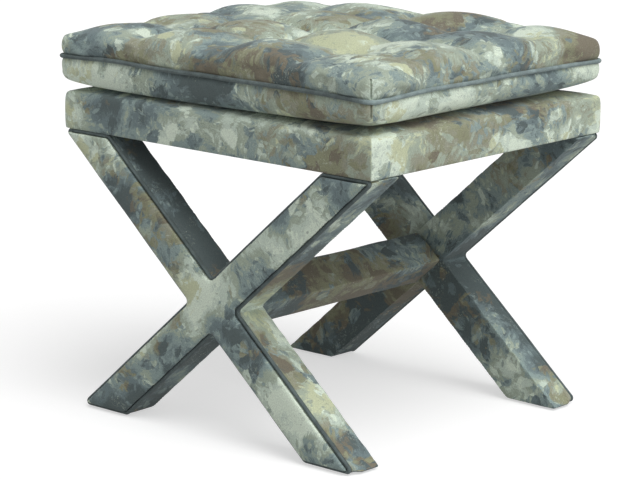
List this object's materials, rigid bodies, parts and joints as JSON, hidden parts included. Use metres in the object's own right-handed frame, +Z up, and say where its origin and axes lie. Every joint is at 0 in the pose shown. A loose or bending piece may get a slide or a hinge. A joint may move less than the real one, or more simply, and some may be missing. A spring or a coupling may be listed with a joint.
{
  "type": "tufted ottoman",
  "caption": "Square-cornered upholstered ottoman: a padded seat box on crossed, covered legs with a diamond stretcher, topped by a welted, biscuit-tufted cushion.",
  "frame": {"origin": "on the floor, under the middle of the seat box", "axes": "+X along the width, parallel to the faces of the X frames; +Y along the stretcher, from the front X frame to the rear one; +Z up"},
  "size_m": [0.5152, 0.4392, 0.4951],
  "materials": {
    "print_fabric": "matte",
    "welt_fabric": "matte",
    "fibre": "matte",
    "foam": "matte",
    "plywood": "matte",
    "timber": "matte",
    "zinc_steel": "satin",
    "dust_cloth": "matte",
    "glide_plastic": "matte",
    "twine": "matte"
  },
  "bodies": {
    "root": {"seat_cover": "print_fabric", "seat_wadding": "fibre", "deck_foam": "foam", "deck_panel": "plywood", "deck_screws": "zinc_steel", "front_rail": "timber", "rear_rail": "timber", "left_rail": "timber", "right_rail": "timber", "rail_dowels": "timber", "corner_blocks": "plywood", "dust_cover": "dust_cloth", "leg_bolts": "zinc_steel", "leg_nuts": "zinc_steel", "front_rising_arm": "timber", "front_falling_arm": "timber", "front_frame_wadding": "fibre", "front_face_cover": "print_fabric", "front_wrap_cover": "print_fabric", "front_frame_welt": "welt_fabric", "rear_rising_arm": "timber", "rear_falling_arm": "timber", "rear_frame_wadding": "fibre", "rear_face_cover": "print_fabric", "rear_wrap_cover": "print_fabric", "rear_frame_welt": "welt_fabric", "stretcher_core": "timber", "stretcher_wadding": "fibre", "stretcher_cover": "print_fabric", "stretcher_screws": "zinc_steel", "glides": "glide_plastic", "cushion_foam": "foam", "cushion_fill": "fibre", "cushion_top_cover": "print_fabric", "cushion_bottom_cover": "print_fabric", "cushion_welt": "welt_fabric", "tuft_twines": "twine", "tuft_washers": "zinc_steel"}
  },
  "joints": []
}
